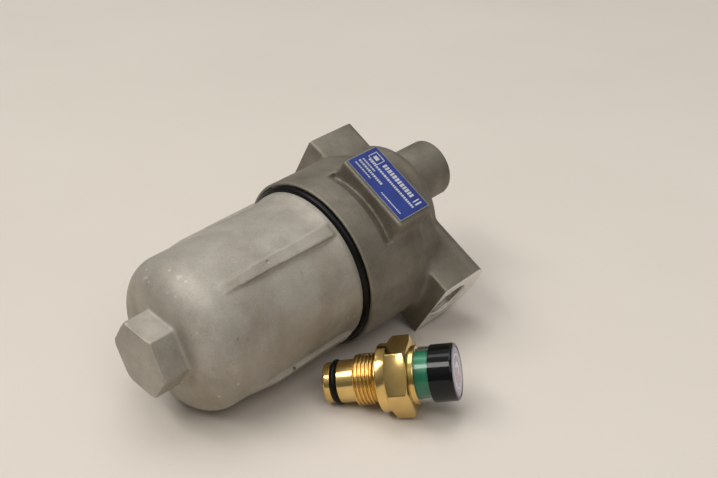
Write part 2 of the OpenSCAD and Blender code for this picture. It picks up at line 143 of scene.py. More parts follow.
def revolve(name, profile, n=128, y=0.0, z=0.0):
    """Closed solid made by turning (radius, distance) points about the local x axis."""
    verts, faces = [], []
    for r, a in profile:
        for k in range(n):
            t = 2 * math.pi * k / n
            verts.append((a, y + r * math.cos(t), z + r * math.sin(t)))
    rows = len(profile)
    for i in range(rows):
        j = (i + 1) % rows
        if profile[i][0] < 1e-9 and profile[j][0] < 1e-9:
            continue
        for k in range(n):
            m = (k + 1) % n
            quad = [i * n + k, i * n + m, j * n + m, j * n + k]
            if profile[i][0] < 1e-9:
                quad = [i * n, j * n + m, j * n + k]
            elif profile[j][0] < 1e-9:
                quad = [i * n + k, i * n + m, j * n]
            faces.append(quad)
    return new_object(name, verts, faces)


def prism(name, outline, axis, low, high):
    """Closed solid from an outline; axis is the local axis, 0 to 2, it is drawn out along."""
    others = [k for k in range(3) if k != axis]
    verts = []
    for level in (low, high):
        for u, v in outline:
            p = [0.0, 0.0, 0.0]
            p[axis] = level
            p[others[0]] = u
            p[others[1]] = v
            verts.append(tuple(p))
    n = len(outline)
    faces = [list(range(n)), list(range(2 * n - 1, n - 1, -1))]
    faces += [[k, (k + 1) % n, n + (k + 1) % n, n + k] for k in range(n)]
    return new_object(name, verts, faces)


def block(name, a, p, n):
    """Box between pairs of limits along the three local axes."""
    return prism(name, [(a[0], p[0]), (a[1], p[0]), (a[1], p[1]), (a[0], p[1])], 2, n[0], n[1])


def ngon(r, count, turn):
    angles = [turn + 2 * math.pi * k / count for k in range(count)]
    return [(r * math.cos(t), r * math.sin(t)) for t in angles]


def baked(obj):
    """Applies the modifiers of obj."""
    graph = bpy.context.evaluated_depsgraph_get()
    mesh = bpy.data.meshes.new_from_object(obj.evaluated_get(graph))
    old = obj.data
    obj.modifiers.clear()
    obj.data = mesh
    bpy.data.meshes.remove(old)
    return obj


def combine(obj, other, operation):
    mod = obj.modifiers.new("cut", "BOOLEAN")
    mod.operation = operation
    mod.solver = "MANIFOLD"
    mod.object = other
    baked(obj)
    bpy.data.objects.remove(other)
    return obj


def joined(objs):
    """One object that holds every mesh of objs, overlaps and all."""
    bm = bmesh.new()
    for o in objs:
        bm.from_mesh(o.data)
    for o in objs[1:]:
        bpy.data.objects.remove(o)
    bm.to_mesh(objs[0].data)
    bm.free()
    return objs[0]


def voxels(obj, size):
    mod = obj.modifiers.new("remesh", "REMESH")
    mod.mode = "VOXEL"
    mod.voxel_size = size
    return baked(obj)


def relax(obj, passes, hollow_passes):
    """Softens a dense mesh: passes round every edge, hollow_passes only fill hollow corners."""
    mesh = obj.data
    count = len(mesh.vertices)
    co = np.empty(count * 3)
    mesh.vertices.foreach_get("co", co)
    co = co.reshape(-1, 3)
    ends = np.empty(len(mesh.edges) * 2, np.int64)
    mesh.edges.foreach_get("vertices", ends)
    a, b = ends[0::2], ends[1::2]
    degree = np.bincount(a, minlength=count) + np.bincount(b, minlength=count)
    for step in range(passes + hollow_passes):
        total = np.empty_like(co)
        for k in range(3):
            total[:, k] = np.bincount(a, co[b, k], count) + np.bincount(b, co[a, k], count)
        move = total / degree[:, None] - co
        amount = np.full(count, RELAX_STEP)
        if step >= passes:
            if (step - passes) % 4 == 0:
                mesh.vertices.foreach_set("co", co.ravel())
                mesh.update()
                normal = np.empty(count * 3)
                mesh.vertex_normals.foreach_get("vector", normal)
                normal = normal.reshape(-1, 3)
            amount = amount * ((move * normal).sum(1) > 0)
        co = co + move * amount[:, None]
    mesh.vertices.foreach_set("co", co.ravel())
    mesh.update()
    return obj


def thinned(obj, ratio):
    mod = obj.modifiers.new("thin", "DECIMATE")
    mod.ratio = ratio
    return baked(obj)


def smooth(obj, degrees=35):
    """Smooth shading with sharp edges where faces turn by more than an angle."""
    mesh = obj.data
    mesh.polygons.foreach_set("use_smooth", [True] * len(mesh.polygons))
    mesh.set_sharp_from_angle(angle=math.radians(degrees))
    return obj


def placed(obj, matrix, name, body, materials, stands_for=()):
    """Puts a local piece in the row frame and fixes it to its body."""
    obj.data.transform(matrix)
    obj.data.name = name
    obj.name = name
    if obj.data.materials:
        obj.data.materials.clear()
    for m in materials:
        obj.data.materials.append(m)
    if stands_for:
        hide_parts(*stands_for)
    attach(obj, body)
    return obj


# ---- Materials ----

class Shader:
    """A material's node tree with short calls for what these materials share."""

    def __init__(self, name):
        self.material = bpy.data.materials.new(name)
        self.material.use_nodes = True
        self.tree = self.material.node_tree
        self.bsdf = self.tree.nodes["Principled BSDF"]
        self.coords = self.node("ShaderNodeTexCoord").outputs["Object"]

    def node(self, kind, **values):
        n = self.tree.nodes.new(kind)
        for k, v in values.items():
            setattr(n, k, v)
        return n

    def link(self, a, b):
        self.tree.links.new(a, b)

    def noise(self, scale, detail=3.0, rough=0.55, vector=None):
        n = self.node("ShaderNodeTexNoise")
        n.inputs["Scale"].default_value = scale
        n.inputs["Detail"].default_value = detail
        n.inputs["Roughness"].default_value = rough
        self.link(vector or self.coords, n.inputs["Vector"])
        return n.outputs["Fac"]

    def ramp(self, value, stops):
        n = self.node("ShaderNodeValToRGB")
        ramp = n.color_ramp
        while len(ramp.elements) < len(stops):
            ramp.elements.new(0.5)
        for e, (at, colour) in zip(ramp.elements, stops):
            e.position = at
            e.color = (*colour, 1) if len(colour) == 3 else colour
        self.link(value, n.inputs["Fac"])
        return n.outputs["Color"]

    def grey(self, value, low, high, at=(0.3, 0.7)):
        return self.ramp(value, [(at[0], (low,) * 3), (at[1], (high,) * 3)])

    def math(self, kind, a, b=0.0):
        n = self.node("ShaderNodeMath", operation=kind)
        for socket, v in zip(n.inputs, (a, b)):
            if isinstance(v, (int, float)):
                socket.default_value = v
            else:
                self.link(v, socket)
        return n.outputs[0]

    def mix(self, share, a, b, blend="MIX"):
        n = self.node("ShaderNodeMix", data_type="RGBA", blend_type=blend)
        for socket, v in ((n.inputs[0], share), (n.inputs[6], a), (n.inputs[7], b)):
            if isinstance(v, (int, float)):
                socket.default_value = v
            elif isinstance(v, tuple):
                socket.default_value = (*v, 1)
            else:
                self.link(v, socket)
        return n.outputs[2]

    def local(self, matrix):
        """Coordinates in a local frame in millimetres, from the object's own in metres."""
        inverse = matrix.inverted()
        outs = []
        for row in range(3):
            n = self.node("ShaderNodeVectorMath", operation="DOT_PRODUCT")
            n.inputs[1].default_value = inverse[row][:3]
            self.link(self.coords, n.inputs[0])
            outs.append(self.math("ADD", n.outputs["Value"], inverse[row][3]))
        return outs

    def bump(self, heights):
        """Stacks bumps; heights are (value, strength, distance in metres)."""
        last = None
        for value, strength, distance in heights:
            n = self.node("ShaderNodeBump")
            n.inputs["Strength"].default_value = strength
            n.inputs["Distance"].default_value = distance
            self.link(value, n.inputs["Height"])
            if last is not None:
                self.link(last, n.inputs["Normal"])
            last = n.outputs["Normal"]
        self.link(last, self.bsdf.inputs["Normal"])

    def done(self, colour, rough, metallic=0.0, **constants):
        self.set("Base Color", colour)
        self.set("Roughness", rough)
        self.set("Metallic", metallic)
        for k, v in constants.items():
            self.bsdf.inputs[k].default_value = v
        return self.material

    def set(self, name, v):
        if isinstance(v, (int, float)):
            self.bsdf.inputs[name].default_value = v
        elif isinstance(v, tuple):
            self.bsdf.inputs[name].default_value = (*v, 1)
        else:
            self.link(v, self.bsdf.inputs[name])


def cast_metal(name, dark, light, stain, rough, grain, pits):
    """Blasted casting: fine grain, soft cloudy tone, faint brown stains, and a painted highlight on convex edges.
    """
    s = Shader(name)
    cloud = s.noise(55, 4, 0.6)
    colour = s.ramp(cloud, [(0.36, dark), (0.64, light)])
    patch = s.grey(s.noise(38, 3, 0.5), 0.0, 0.55, (0.52, 0.74))
    colour = s.mix(patch, colour, stain)
    speck = s.grey(s.noise(1900, 2, 0.6), 0.92, 1.06, (0.35, 0.68))
    colour = s.mix(1.0, colour, speck, "MULTIPLY")
    pit = s.grey(s.noise(520, 2, 0.5), 1.0, pits, (0.68, 0.78))
    colour = s.mix(1.0, colour, pit, "MULTIPLY")
    # Painted highlight: faces on sharp convex edges (high pointiness) are lightened towards a brighter copy of the
    # light tone.
    point = s.node("ShaderNodeNewGeometry").outputs["Pointiness"]
    painted_edge_highlight = s.grey(point, 0.0, 0.55, (0.515, 0.58))
    colour = s.mix(painted_edge_highlight, colour, tuple(min(1.0, 1.3 * c) for c in light))
    s.bump([(s.noise(210, 3, 0.5), 0.25, 0.0006), (s.noise(1500, 3, 0.65), grain, 0.00025)])
    return s.done(colour, s.grey(s.noise(120, 3), rough - 0.05, rough + 0.07), 0.7)


def machined_metal(name, colour, matrix, rough=0.3):
    """Faced or turned metal: fine rings about a line along the local x axis."""
    s = Shader(name)
    x, y, z = s.local(matrix)
    radius = s.math("SQRT", s.math("ADD", s.math("MULTIPLY", y, y), s.math("MULTIPLY", z, z)))
    along = s.math("ADD", radius, x)
    rings = s.math("SINE", s.math("MULTIPLY", along, RING_PHASE))
    tint = s.mix(s.grey(s.noise(160, 3), 0.0, 0.35), colour, tuple(0.72 * c for c in colour))
    s.bump([(rings, 0.12, 0.00003), (s.noise(900, 2), 0.1, 0.00004)])
    return s.done(tint, s.grey(s.noise(300, 3), rough - 0.06, rough + 0.08), 1.0)


def brass(name):
    s = Shader(name)
    x = s.local(INDICATOR)[0]
    base = s.ramp(s.noise(110, 3, 0.5), [(0.35, (0.68, 0.46, 0.15)), (0.65, (0.78, 0.56, 0.22))])
    tarnish = s.grey(s.noise(190, 3, 0.5), 0.0, 0.25, (0.55, 0.8))
    colour = s.mix(tarnish, base, (0.55, 0.36, 0.13))
    lathe = s.math("SINE", s.math("MULTIPLY", x, LATHE_PHASE))
    s.bump([(lathe, 0.1, 0.00001), (s.noise(700, 2), 0.015, 0.00003)])
    return s.done(colour, s.grey(s.noise(300, 3), 0.13, 0.19), 1.0)


def moulded(name, colour, rough, mottle=0.25, grain=0.06, **constants):
    """Plastic, rubber or paper: slight tone change, fine grain and uneven gloss."""
    s = Shader(name)
    dark = tuple((1 - mottle) * c for c in colour)
    tint = s.ramp(s.noise(130, 4), [(0.35, dark), (0.65, colour)])
    s.bump([(s.noise(1400, 3), grain, 0.00008), (s.noise(160, 2), 0.05, 0.0003)])
    return s.done(tint, s.grey(s.noise(260, 3), max(0.02, rough - 0.05), rough + 0.06), 0.0, **constants)


def plate_print(name):
    """Blue print that stops short of the plate's edges, which stay bare."""
    s = Shader(name)
    x, y, z = s.local(FILTER)
    half_a, half_p, mid_a, mid_p, margin = 8.3, 16.45, -28.6, 0.25, 0.22
    in_a = s.math("LESS_THAN", s.math("ABSOLUTE", s.math("SUBTRACT", x, mid_a)), half_a - margin)
    in_p = s.math("LESS_THAN", s.math("ABSOLUTE", s.math("SUBTRACT", y, mid_p)), half_p - margin)
    top = s.math("GREATER_THAN", z, PAD_N + 0.6)
    printed = s.math("MULTIPLY", s.math("MULTIPLY", in_a, in_p), top)
    blue = s.ramp(s.noise(90, 3), [(0.35, (0.006, 0.022, 0.17)), (0.65, (0.01, 0.036, 0.24))])
    bare = s.ramp(s.noise(300, 3), [(0.3, (0.22, 0.21, 0.19)), (0.7, (0.32, 0.31, 0.28))])
    s.bump([(s.noise(1100, 3), 0.08, 0.00006)])
    colour = s.mix(printed, bare, blue)
    return s.done(colour, s.grey(s.noise(240, 3), 0.3, 0.44), 0.0, **{"Coat Weight": 0.15})


def disc_face(name):
    """Generic printed face: lavender, with a paler ring and a soft two-colour mark."""
    s = Shader(name)
    y, z = s.local(INDICATOR)[1:]
    radius = s.math("SQRT", s.math("ADD", s.math("MULTIPLY", y, y), s.math("MULTIPLY", z, z)))
    base = s.ramp(s.noise(200, 3), [(0.35, (0.15, 0.13, 0.32)), (0.65, (0.22, 0.19, 0.42))])
    ring = s.math("LESS_THAN", s.math("ABSOLUTE", s.math("SUBTRACT", radius, 6.4)), 0.35)
    inner = s.math("LESS_THAN", s.math("ABSOLUTE", s.math("SUBTRACT", radius, 2.6)), 1.0)
    colour = s.mix(ring, base, (0.62, 0.6, 0.66))
    side = s.math("GREATER_THAN", y, 0.0)
    mark = s.mix(side, (0.5, 0.09, 0.12), (0.6, 0.6, 0.7))
    colour = s.mix(inner, colour, mark)
    s.bump([(s.noise(900, 2), 0.05, 0.00004)])
    return s.done(colour, s.grey(s.noise(240, 3), 0.16, 0.26), 0.0, **{"Coat Weight": 0.5})


def clear_plastic(name):
    s = Shader(name)
    tint = s.ramp(s.noise(150, 3), [(0.3, (0.93, 0.98, 0.96)), (0.7, (0.98, 1.0, 0.99))])
    s.bump([(s.noise(300, 2), 0.02, 0.0001)])
    return s.done(tint, s.grey(s.noise(200, 3), 0.0, 0.03), 0.0, **{"Transmission Weight": 1.0, "IOR": 1.3})


def floor_paper(name):
    s = Shader(name)
    tone = s.ramp(s.noise(5, 3), [(0.3, (0.66, 0.606, 0.54)), (0.7, (0.69, 0.636, 0.57))])
    fleck = s.grey(s.noise(260, 4, 0.7), 1.0, 0.96, (0.6, 0.75))
    s.bump([(s.noise(700, 4), 0.05, 0.0003)])
    return s.done(s.mix(1.0, tone, fleck, "MULTIPLY"), 0.55, 0.0)


CAST_HEAD = cast_metal("cast_head", (0.175, 0.157, 0.124), (0.262, 0.238, 0.193), (0.15, 0.122, 0.082),
                       0.58, 0.5, 0.8)
CAST_BOWL = cast_metal("cast_bowl", (0.365, 0.338, 0.29), (0.475, 0.447, 0.392), (0.33, 0.265, 0.18),
                       0.66, 0.3, 0.85)
PORT_FACED = machined_metal("port_faced", (0.82, 0.8, 0.75), FILTER, 0.42)
STEEL = machined_metal("machined_steel", (0.56, 0.56, 0.56), FILTER, 0.28)
IND_STEEL = machined_metal("indicator_steel", (0.5, 0.5, 0.52), INDICATOR, 0.28)
BRASS = brass("brass")
RUBBER = moulded("rubber_black", (0.004, 0.004, 0.004), 0.34, 0.3, 0.08, **{"Specular IOR Level": 0.16})
BACKUP = moulded("backup_white", (0.7, 0.68, 0.62), 0.45)
PAPER = moulded("media_paper", (0.72, 0.66, 0.5), 0.8, 0.2, 0.5)
RED = moulded("signal_red", (0.45, 0.02, 0.015), 0.3)
GREEN = moulded("signal_green", (0.0, 0.24, 0.11), 0.34)
BLACK = moulded("cap_black", (0.004, 0.004, 0.005), 0.07, 0.3, 0.01, **{"Specular IOR Level": 0.3})
MAGNET = machined_metal("magnet_dark", (0.16, 0.16, 0.18), INDICATOR, 0.4)
PLATE = plate_print("plate_blue")
PRINT = moulded("plate_silver", (0.55, 0.56, 0.6), 0.35)
DISC = disc_face("disc_print")
CLEAR = clear_plastic("window_clear")


# ---- Head ----

def port_blocks():
    """Both port blocks as one prism; the inlet block's top slopes down to its face."""
    obj = prism("ports", port_outline(), 1, -PORT_FACE - 2, PORT_FACE + 2)
    wedge = block("wedge", (-80, -20), (-60, 0), (0, 20))
    wedge.data.transform(Matrix.Rotation(INLET_SLOPE, 4, "X"))
    wedge.data.transform(Matrix.Translation((0, INLET_SLOPE_P, PORT_TOP)))
    return combine(obj, wedge, "DIFFERENCE")


def head_blank():
    body = [(0, 1.5), (COLLAR_R, 1.5)] + arc(COLLAR_R - COLLAR_ROUND, COLLAR_END, COLLAR_ROUND, 0, -80, 8)
    body += arc(BODY_R - WAIST_ROUND, WAIST_END + WAIST_ROUND, WAIST_ROUND, 0, -90, 10) + [(0, WAIST_END)]
    cover = [(0, -30), (COVER_R, -30)]
    cover += arc(COVER_R - COVER_ROUND, COVER_END + COVER_ROUND, COVER_ROUND, 0, -90, 10) + [(0, COVER_END)]
    boss = [(0, -50), (BOSS_R, -50), (BOSS_R, BOSS_END - 2), (0, BOSS_END - 2)]
    parts = [
        revolve("body", body),
        revolve("cover", cover, y=COVER_P),
        revolve("boss", boss, y=BOSS_P),
        port_blocks(),
        block("pad", (PAD_A0, PAD_A1), (-PAD_P, PAD_FAR_P), (20, PAD_N)),
    ]
    return joined(parts)


def port_outline():
    """Side outline of a port block: flat near side, top and underside, rounded far side."""
    top = math.asin((PORT_TOP - PORT_MID_N) / PORT_R)
    low = math.asin((PORT_MID_N - PORT_LOW) / PORT_R)
    points = [(PORT_NEAR, PORT_LOW), (PORT_NEAR, PORT_TOP)]
    first, last = math.pi - top, math.pi + low
    count = 24
    for k in range(count + 1):
        t = first + (last - first) * k / count
        points.append((PORT_MID + PORT_R * math.cos(t), PORT_MID_N + PORT_R * math.sin(t)))
    return points


def head_cutters():
    """Machined features: each is cut from the soft casting, so its edges stay crisp."""
    mouth = [(0, 6), (60, 6), (60, FRONT - EDGE - 0.01), (COLLAR_R + 0.4, FRONT - EDGE - 0.4)]
    mouth += [(COLLAR_R - EDGE, FRONT), (SEAT_R + EDGE, FRONT), (SEAT_R, FRONT - EDGE), (SEAT_R, SEAT_END)]
    mouth += [(MOUTH_R, SEAT_END), (MOUTH_R, BORE_END), (CHAMBER_R, BORE_END - 3.5)]
    mouth += [(CHAMBER_R, CHAMBER_END), (0, CHAMBER_END)]
    cutters = [revolve("mouth", mouth, 192)]
    cutters.append(gauge_bore())
    cutters.append(block("boss_end", (BOSS_END - 5, BOSS_END), (-40, 20), (-30, 30)))
    for side in (1, -1):
        cutters.append(block("face", (-80, -20), tuple(sorted((side * PORT_FACE, side * 60))), (-40, 40)))
        cutters.append(port_bore(side))
    return cutters


def threaded_plug(core, major, lead, mouth, depth, lead_in, tail):
    """Cutter for a threaded hole along x: mouth at its outer end, with a helical ridge."""
    n = 144
    rows = [(0.0, mouth + 1), (core + lead_in + 1, mouth + 1), (core + 0.02, mouth - lead_in)]
    verts = []
    for r, a in rows[:2]:
        verts += ring_points([r] * n, a)
    low = mouth - depth
    for a in np.arange(mouth - 0.02, low, -0.15):
        chamfer = core + lead_in + (a - mouth)
        radii = []
        for k in range(n):
            t = 2 * math.pi * k / n
            r = thread_radius(a, t, major, core, lead, low, mouth + 9, core, core)
            radii.append(max(r, chamfer))
        verts += ring_points(radii, a)
    for r, a in [(core, low), *tail]:
        verts += ring_points([r] * n, a)
    return new_object("plug", verts, tube_faces(len(verts) // n, n))


def port_bore(side):
    """Lead-in, threaded bore and the passage behind it."""
    turn = Matrix.Rotation(side * math.pi / 2, 4, "Z")
    tail = [(8, PORT_FACE - PORT_LEN), (8, 18), (0, 18)]
    obj = threaded_plug(PORT_CORE_R, PORT_THREAD_R, PORT_PITCH, PORT_FACE, PORT_LEN, PORT_LEAD, tail)
    obj.data.transform(Matrix.Translation((PORT_MID, 0, PORT_MID_N)) @ turn)
    return obj


def gauge_bore():
    """Threaded bore in the indicator boss."""
    end = -BOSS_END
    tail = [(0, end - GAUGE_LEN - 2)]
    obj = threaded_plug(GAUGE_CORE_R, GAUGE_THREAD_R, GAUGE_PITCH, end, GAUGE_LEN, GAUGE_LEAD, tail)
    turn = Matrix.Rotation(math.pi, 4, "Z")
    obj.data.transform(Matrix.Translation((0, BOSS_P, 0)) @ turn)
    return obj


def head():
    obj = voxels(head_blank(), HEAD_GRID)
    relax(obj, 9, 44)
    cone = [(RELIEF_R, RELIEF_A1), (PAD_N + 5, RELIEF_A1), (PAD_N + 5, PAD_A1), (RELIEF_FOOT_R, PAD_A1)]
    relief = revolve("relief", cone)
    window = block("window", (PAD_A1 - 1, RELIEF_A1 + 1), (-PAD_P - 0.6, PAD_FAR_P + 0.6), (20, 60))
    combine(relief, window, "INTERSECT")
    combine(obj, relief, "DIFFERENCE")
    obj = voxels(obj, HEAD_GRID)
    relax(obj, 3, 10)
    thinned(obj, KEPT_SHARE)
    for cutter in head_cutters():
        combine(obj, cutter, "DIFFERENCE")
    return finished_head(obj)


def finished_head(obj):
    """Marks the machined faces by where they lie, then places the piece."""
    smooth(obj, 32)
    centres = np.array([p.center for p in obj.data.polygons])
    faced = np.abs(np.abs(centres[:, 1]) - PORT_FACE) < 0.02
    radius = np.hypot(centres[:, 0] - PORT_MID, centres[:, 2] - PORT_MID_N)
    faced |= (radius < PORT_CORE_R + PORT_LEAD + 0.3) & (np.abs(centres[:, 1]) > 17)
    round_axis = np.hypot(centres[:, 1], centres[:, 2])
    faced |= (round_axis < SEAT_R + 0.6) & (centres[:, 0] > SEAT_END - 0.3)
    faced |= (round_axis < MOUTH_R + 0.1) & (centres[:, 0] > CHAMBER_END - 1)
    faced |= (np.hypot(centres[:, 1] - BOSS_P, centres[:, 2]) < 11.3) & (centres[:, 0] < -74)
    faced |= np.abs(centres[:, 0] - BOSS_END) < 0.02
    placed(obj, FILTER, "head_shell", "head", [CAST_HEAD, PORT_FACED], ["head_casting"])
    obj.data.polygons.foreach_set("material_index", faced.astype(np.int32))
    return obj


# ---- Bowl ----

def rib(turn):
    """A rib that narrows and fades out towards the dome."""
    side = [(1.2, BOWL_R - 1), (1.2, RIM_R - 0.1), (3.4, BOWL_R + RIB_H), (40, BOWL_R + RIB_H - 0.2)]
    side += [(59, BOWL_R - 0.4), (59, BOWL_R - 1)]
    obj = prism("rib", side, 1, -5, 5)
    taper = prism("taper", [(0, -2.9), (60, -1.9), (60, 1.9), (0, 2.9)], 2, 0, 40)
    combine(obj, taper, "INTERSECT")
    obj.data.transform(Matrix.Rotation(turn, 4, "X"))
    return obj


def bowl_blank():
    wall = [(0, -2), (RIM_R, -2), (RIM_R, 1.6)]
    wall += [(BOWL_R + (RIM_R - BOWL_R) * (1 - k / 8) ** 2, 1.6 + 7 * k / 8) for k in range(1, 9)]
    wall += arc(BOWL_R - DOME_R, DOME_A, DOME_R, 0, 88, 16) + [(0, DOME_A + DOME_R)]
    parts = [revolve("wall", wall, 192)]
    parts += [rib(RIB_TURN + k * math.pi / 2) for k in range(4)]
    return joined(parts)


def bowl_hexagon():
    """The hexagon with its end chamfered, on a slightly wider hexagonal foot."""
    end = HEX_BASE + HEX_LEN
    obj = prism("hex", ngon(HEX_AF / math.sqrt(3), 6, HEX_SPIN), 0, HEX_BASE - 4, end)
    r = HEX_AF / 2
    trim = [(0, HEX_BASE - 5), (r + 3, HEX_BASE - 5), (r + 3, end - 1.1)]
    trim += [(r + 0.9, end + 0.01), (0, end + 0.01)]
    foot = prism("foot", ngon((HEX_AF + 1.2) / math.sqrt(3), 6, HEX_SPIN), 0, HEX_BASE - 4, HEX_BASE + 0.5)
    return joined([combine(obj, revolve("trim", trim, 96), "INTERSECT"), foot])


def bowl():
    obj = joined([bowl_blank(), bowl_hexagon()])
    obj = voxels(obj, BOWL_GRID)
    relax(obj, 2, 5)
    for centre, r in dents():
        ball = revolve("ball", arc(0, 0, r, -90, 90, 8), 16)
        ball.data.transform(Matrix.Translation(centre))
        combine(obj, ball, "DIFFERENCE")
    combine(obj, nick(), "DIFFERENCE")
    thinned(obj, KEPT_SHARE)
    inside = [(0, -19), (NECK_BORE, -19)] + arc(18.6, DOME_A - 0.6, 8, 0, 90, 8) + [(0, DOME_A + 7.4)]
    combine(obj, block("front", (-5, -0.1), (-50, 50), (-50, 50)), "DIFFERENCE")
    combine(obj, revolve("inside", inside, 128), "DIFFERENCE")
    combine(obj, bowl_neck(), "UNION")
    smooth(obj, 40)
    return placed(obj, FILTER, "bowl_shell", "bowl", [CAST_BOWL], ["bowl"])


def dents():
    """Small pits: one on the upper rib and one in the skin below it."""
    marks = []
    for turn, a, above in ((-4.0, 34.0, RIB_H), (-38, 58.5, 0.1)):
        t = math.radians(turn) + math.pi / 2
        radius = BOWL_R + above
        marks.append((Vector((a, radius * math.cos(t), radius * math.sin(t))), 0.6))
    return marks


def nick():
    """Cutter for a narrow groove across the rib on the outlet's side."""
    obj = block("nick", (32.5, 33.9), (-5, 5), (BOWL_R + 0.75, BOWL_R + 6))
    obj.data.transform(Matrix.Rotation(RIB_TURN - math.pi / 2, 4, "X"))
    return obj


def bowl_neck():
    """Neck with a true right-handed helical thread."""
    return helix_solid("neck", NECK_BORE, NECK_CREST, NECK_ROOT, NECK_PITCH, -16.0, -5.0,
                       (-17.6, 0.3), 31.1, 29.9)


def helix_solid(name, bore, crest, root, lead, t0, t1, span, front_r, back_r, n=160, step=0.2):
    """Tube along x whose outside carries a thread from t0 to t1."""
    a0, a1 = span
    stations = [a0 + 0.001] + list(np.arange(a0 + 0.8, a1 - 0.05, step)) + [a1]
    verts, faces = [], []
    for a in stations:
        for k in range(n):
            t = 2 * math.pi * k / n
            r = thread_radius(a, t, crest, root, lead, t0, t1, front_r, back_r)
            r -= max(0.0, a0 + 0.8 - a)
            verts.append((a, r * math.cos(t), r * math.sin(t)))
    rows = len(stations)
    for a in (stations[-1], stations[0]):
        verts += ring_points([bore] * n, a)
    return new_object(name, verts, tube_faces(rows + 2, n))


def thread_radius(a, t, crest, root, lead, t0, t1, front_r, back_r):
    """Radius of a right-handed thread at distance a and angle t, with faded ends."""
    if a > t1:
        return front_r
    if a < t0:
        return back_r
    phase = (a / lead - t / (2 * math.pi)) % 1.0
    ridge = min(1.0, max(0.0, 1.9 * (1 - abs(2 * phase - 1)) - 0.35))
    fade = min(1.0, (t1 - a) / (0.6 * lead), (a - t0) / (0.3 * lead) + 0.2)
    return root + (crest - root) * ridge * max(0.0, fade)


# ---- Indicator ----

def indicator_turning():
    """Turned brass outside: land, O-ring groove, stem, thread, collar and neck."""
    n, bore = 160, 5.4
    rows = [(7.1, -22.2), (7.45, -22.05), (7.8, -21.2), (7.8, -21.05), (7.8, -19.4), (7.8, -19.25)]
    rows += [(7.72, -19.2), (6.3, -19.2), (6.3, -16.4), (8.1, -16.4), (8.2, -16.25), (8.2, -16.1)]
    rows += [(8.2, -10.1), (8.2, -9.9), (8.25, -9.75)]
    verts = []
    for r, a in rows:
        verts += ring_points([r] * n, a)
    for a in np.arange(-9.6, -0.62, 0.125):
        turns = [2 * math.pi * k / n for k in range(n)]
        radii = [thread_radius(a, t, 10.0, 9.12, GAUGE_PITCH, -9.6, -1.1, 9.1, 8.3) for t in turns]
        verts += ring_points(radii, a)
    tail = [(8.9, -0.5), (8.9, 0.0), (12.6, 0.0), (12.95, 0.12), (13.1, 0.4), (13.1, 0.6)]
    tail += [(13.1, 4.1), (13.1, 4.3), (11.2, 4.3)]
    tail += [(11.2, 14.0), (11.05, 14.3), (10.9, 14.4), (9.6, 14.4), (9.6, 3.0)]
    for r, a in tail:
        verts += ring_points([r] * n, a)
    verts += ring_points([0.0] * n, 3.0) + ring_points([0.0] * n, 1.6)
    verts += ring_points([bore] * n, 1.6) + ring_points([bore] * n, -22.2)
    return new_object("turning", verts, tube_faces(len(verts) // n, n))


def ring_points(radii, a):
    """A ring of points about the local x axis, one for each radius."""
    n = len(radii)
    turns = [2 * math.pi * k / n for k in range(n)]
    return [(a, r * math.cos(t), r * math.sin(t)) for r, t in zip(radii, turns)]


def indicator_hexagon():
    a0, a1 = 3.8, 12.6
    obj = prism("hex", ngon(IND_HEX_AF / math.sqrt(3), 6, math.pi / 2), 0, a0, a1)
    r = IND_HEX_AF / 2
    trim = [(0, a0 - 0.01), (r - 0.2, a0 - 0.01), (r + 2.2, a0 + 1.2), (r + 2.2, a1 - 1.2)]
    trim += [(r - 0.2, a1 + 0.01), (0, a1 + 0.01)]
    combine(obj, revolve("trim", trim, 128), "INTERSECT")
    core = revolve("core", [(0, a0 - 1), (10.6, a0 - 1), (10.6, a1 + 1), (0, a1 + 1)], 96)
    return combine(obj, core, "DIFFERENCE")


def indicator():
    obj = combine(indicator_turning(), indicator_hexagon(), "UNION")
    mod = obj.modifiers.new("edges", "BEVEL")
    mod.width = 0.16
    mod.segments = 2
    mod.limit_method = "ANGLE"
    mod.angle_limit = math.radians(40)
    mod.use_clamp_overlap = True
    baked(obj)
    smooth(obj, 50)
    return placed(obj, INDICATOR, "indicator_turned", "indicator", [BRASS], ["indicator_body"])


# ---- Nameplate print ----

def plate_marks():
    """Rows of short bars and a plain frame: generic marks with no lettering."""
    rng = random.Random(7)
    verts, faces = [], []
    top, lift = PAD_N + 0.69, 0.04

    def bar(a0, a1, p0, p1):
        first = len(verts)
        for n in (top, top + lift):
            verts.extend([(a0, p0, n), (a1, p0, n), (a1, p1, n), (a0, p1, n)])
        f = first
        faces.extend([[f, f + 3, f + 2, f + 1], [f + 4, f + 5, f + 6, f + 7]])
        faces.extend([[f + k, f + (k + 1) % 4, f + 4 + (k + 1) % 4, f + 4 + k] for k in range(4)])

    def row(a, height, p0, p1, low, high, gap):
        p = p0
        while p < p1:
            w = rng.uniform(low, high)
            bar(a - height / 2, a + height / 2, p, min(p + w, p1))
            p += w + gap

    row(-33.2, 2.3, -7.2, 10.6, 0.9, 1.5, 0.42)
    row(-29.7, 1.1, -12.6, 14.4, 0.6, 1.1, 0.28)
    row(-27.4, 0.8, -14.0, -6.5, 0.5, 0.9, 0.25)
    row(-25.5, 1.1, -14.2, -0.4, 0.6, 1.0, 0.28)
    row(-23.3, 0.7, -14.2, -5.0, 0.5, 0.9, 0.25)
    row(-22.6, 0.6, 2.4, 14.0, 0.4, 0.8, 0.22)
    for a in (-34.9, -30.4):
        bar(a - 0.2, a + 0.2, -14.0, -8.8)
    for p in (-14.0, -8.9):
        bar(-34.9, -30.4, p, p + 0.35)
    bar(-33.6, -31.7, -12.6, -10.2)
    bar(-34.9, -31.4, 12.2, 12.7)
    bar(-34.9, -31.4, 13.6, 14.3)
    obj = new_object("marks", verts, faces)
    return placed(obj, FILTER, "plate_marks", "head", [PRINT])


# ---- CAD nodes that stay ----

def dress(node, material):
    obj = NODES[node]
    obj.data.materials.clear()
    obj.data.materials.append(material)


